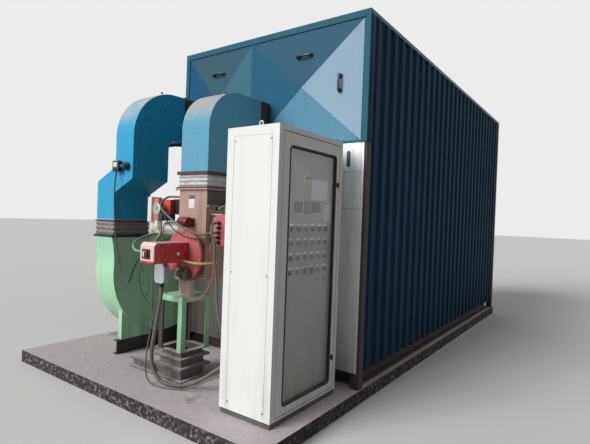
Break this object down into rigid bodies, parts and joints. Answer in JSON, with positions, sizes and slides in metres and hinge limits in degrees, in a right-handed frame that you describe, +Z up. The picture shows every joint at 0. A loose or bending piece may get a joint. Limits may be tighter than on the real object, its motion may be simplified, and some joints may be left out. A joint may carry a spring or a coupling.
{
  "type": "industrial boiler",
  "caption": "Industrial boiler in a ribbed casing with creased front panels, air ducts, scroll fan, burner on a stand and a glazed control cabinet on a plinth.",
  "frame": {"origin": "centre of the bounding box on the floor under the plinth", "axes": "+X to the right seen from the burner front, +Y from the burner front to the back of the casing, +Z up"},
  "size_m": [3.03, 6.13, 3.21],
  "materials": {
    "concrete": "rough, worn",
    "dark_steel": "matt, dusty",
    "casing_core": "matt",
    "ribbed_sheet": "satin",
    "roof_sheet": "satin",
    "front_blue": "satin",
    "galvanised": "bright, streaked",
    "primer_grey": "matt",
    "duct_blue": "semi-gloss",
    "duct_teal": "semi-gloss",
    "rust_brown": "matt, rusty",
    "canvas_grey": "matt",
    "canvas_silver": "satin",
    "fan_green": "semi-gloss",
    "stand_green": "satin",
    "motor_grey": "painted",
    "device_blue": "matt",
    "copper_primer": "satin",
    "faded_red": "matt",
    "burner_red": "semi-gloss",
    "light_grey": "satin",
    "cabinet_white": "textured",
    "door_glass": "clear",
    "black_plastic": "matt",
    "cable_grey": "matt",
    "cable_black": "matt",
    "cable_red": "matt",
    "hose_yellow": "matt",
    "conduit_grey": "ribbed"
  },
  "bodies": {
    "plant": {"plinth": "concrete", "base_frame": "dark_steel", "corner_posts": "dark_steel", "casing_body": "casing_core", "side_sheet_right": "ribbed_sheet", "side_sheet_left": "ribbed_sheet", "rear_sheet": "ribbed_sheet", "roof": "roof_sheet", "front_frame": "front_blue", "front_panel_left": "front_blue", "front_panel_right": "front_blue", "panel_handles": "black_plastic", "lower_front_panels": "galvanised", "lower_front_wall": "primer_grey", "cold_air_duct": "duct_blue", "cold_air_collar": "rust_brown", "cold_air_joint": "canvas_grey", "fan_scroll": "fan_green", "fan_cover": "fan_green", "fan_pedestal": "fan_green", "fan_motor": "motor_grey", "pressure_switch": "device_blue", "hot_air_duct": "duct_teal", "hot_air_collar": "rust_brown", "hot_air_joint": "canvas_silver", "windbox": "copper_primer", "burner_throat": "dark_steel", "burner_disc": "faded_red", "control_box": "burner_red", "burner_drums": "burner_red", "valve_boxes": "burner_red", "junction_box": "faded_red", "terminal_box": "light_grey", "burner_stand": "stand_green", "burner_feed": "light_grey", "beam_stack": "dark_steel", "cabinet_shell": "cabinet_white", "cabinet_base": "light_grey", "cabinet_fittings": "galvanised", "device_plate": "light_grey", "panel_buttons": "black_plastic", "panel_meters": "black_plastic", "power_cable": "cable_grey", "switch_cable": "cable_black", "junction_cable": "cable_grey", "valve_hose": "cable_grey", "sensor_cable": "cable_red", "floor_cable": "cable_grey", "igniter_cable": "cable_black", "gas_hose": "hose_yellow", "control_conduit": "conduit_grey", "valve_conduit": "conduit_grey"},
    "door": {"cabinet_door": "cabinet_white", "door_glass": "door_glass", "door_locks": "black_plastic"}
  },
  "joints": [
    {"name": "cabinet_door_hinge", "type": "hinge", "parent": "plant", "child": "door", "pos_m": [1.37, -2.749, 1.121], "axis": [0, 0, -1], "range_deg": [0, 105]}
  ]
}
